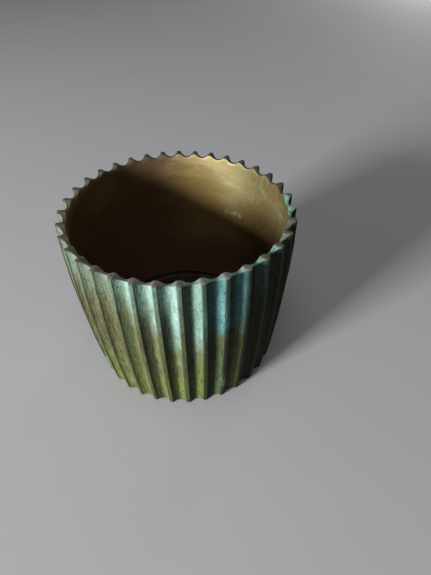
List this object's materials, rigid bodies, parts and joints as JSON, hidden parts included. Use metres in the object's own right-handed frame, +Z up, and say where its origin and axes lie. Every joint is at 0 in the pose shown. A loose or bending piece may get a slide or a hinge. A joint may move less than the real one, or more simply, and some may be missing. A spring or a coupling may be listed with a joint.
{
  "type": "fluted planter pot",
  "caption": "Small cast bronze planter pot with concave flutes, a scalloped rim, a smooth bore and a plate let into its foot.",
  "frame": {"origin": "centre of the foot, on the surface the pot stands on", "axes": "+Z up along the pot's axis; the flutes repeat about it, so +X and +Y are level and otherwise free"},
  "size_m": [0.11, 0.1099, 0.0896],
  "materials": {
    "verdigris_bronze": "patinated, matt verdigris over bronze",
    "warm_bronze": "dull bronze, turned",
    "dull_solder": "dull grey braze"
  },
  "bodies": {
    "root": {"fluted_wall": "verdigris_bronze", "base_plate": "warm_bronze", "solder_seam": "dull_solder"}
  },
  "joints": []
}
